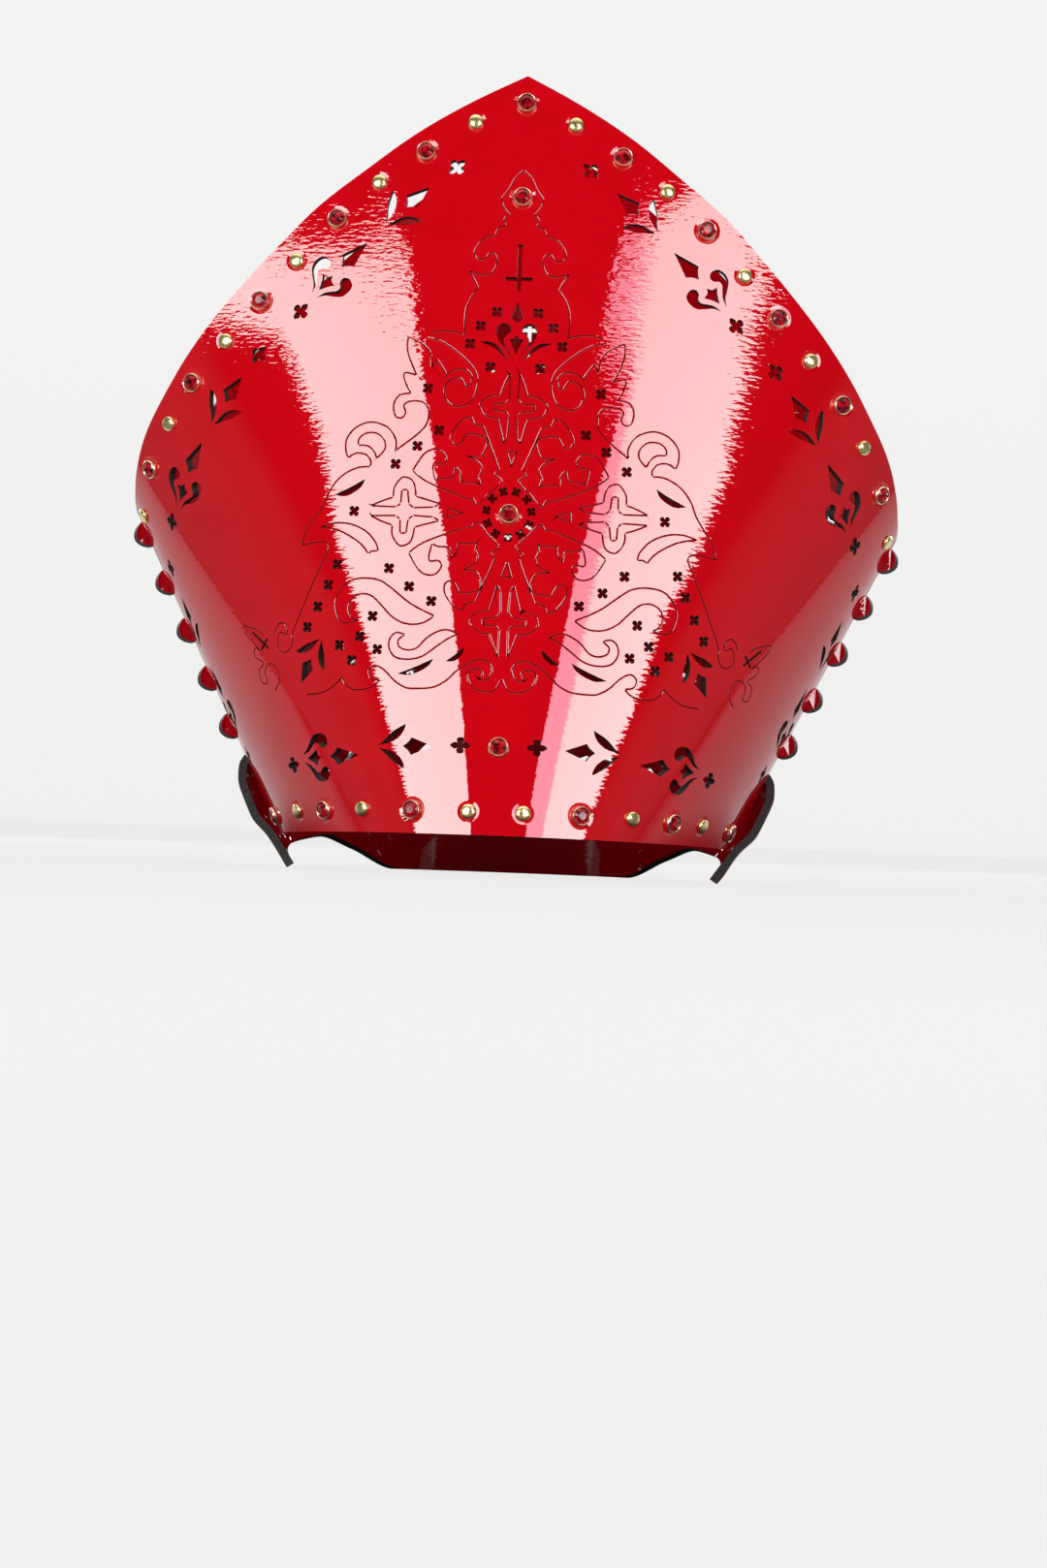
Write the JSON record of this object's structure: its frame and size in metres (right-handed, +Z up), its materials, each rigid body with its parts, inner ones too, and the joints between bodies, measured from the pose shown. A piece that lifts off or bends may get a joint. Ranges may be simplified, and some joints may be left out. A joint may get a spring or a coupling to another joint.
{
  "type": "bishop mitre",
  "caption": "Tall mitre of two curved glossy red leather panels with pointed peaks, pierced with tracery, tabbed together at the sides and edged with gold studs and dark red stones.",
  "frame": {"origin": "centre of the foot print, on the surface that the mitre stands on", "axes": "+Z up, -Y out of the front panel, +X to the right of someone facing the front"},
  "size_m": [0.2802, 0.1958, 0.285],
  "materials": {
    "patent_leather": "high gloss red patent with a black core",
    "patent_leather_back": "high gloss red patent outside, dark red gloss inside, black core",
    "stone": "cut dark red glass in a polished gold cup",
    "gold": "polished gold"
  },
  "bodies": {
    "root": {"front_panel": "patent_leather", "back_panel": "patent_leather_back", "back_jewel_1": "stone", "back_jewel_10": "stone", "back_jewel_11": "stone", "back_jewel_12": "stone", "back_jewel_13": "stone", "back_jewel_14": "stone", "back_jewel_15": "stone", "back_jewel_16": "stone", "back_jewel_17": "stone", "back_jewel_18": "stone", "back_jewel_19": "stone", "back_jewel_2": "stone", "back_jewel_20": "stone", "back_jewel_3": "stone", "back_jewel_4": "stone", "back_jewel_5": "stone", "back_jewel_6": "stone", "back_jewel_7": "stone", "back_jewel_8": "stone", "back_jewel_9": "stone", "front_jewel_1": "stone", "front_jewel_10": "stone", "front_jewel_11": "stone", "front_jewel_12": "stone", "front_jewel_13": "stone", "front_jewel_14": "stone", "front_jewel_15": "stone", "front_jewel_16": "stone", "front_jewel_17": "stone", "front_jewel_18": "stone", "front_jewel_19": "stone", "front_jewel_2": "stone", "front_jewel_20": "stone", "front_jewel_3": "stone", "front_jewel_4": "stone", "front_jewel_5": "stone", "front_jewel_6": "stone", "front_jewel_7": "stone", "front_jewel_8": "stone", "front_jewel_9": "stone", "front_stud_1": "gold", "front_stud_10": "gold", "front_stud_11": "gold", "front_stud_12": "gold", "front_stud_13": "gold", "front_stud_14": "gold", "front_stud_15": "gold", "front_stud_16": "gold", "front_stud_17": "gold", "front_stud_18": "gold", "front_stud_2": "gold", "front_stud_3": "gold", "front_stud_4": "gold", "front_stud_5": "gold", "front_stud_6": "gold", "front_stud_7": "gold", "front_stud_8": "gold", "front_stud_9": "gold"}
  },
  "joints": []
}
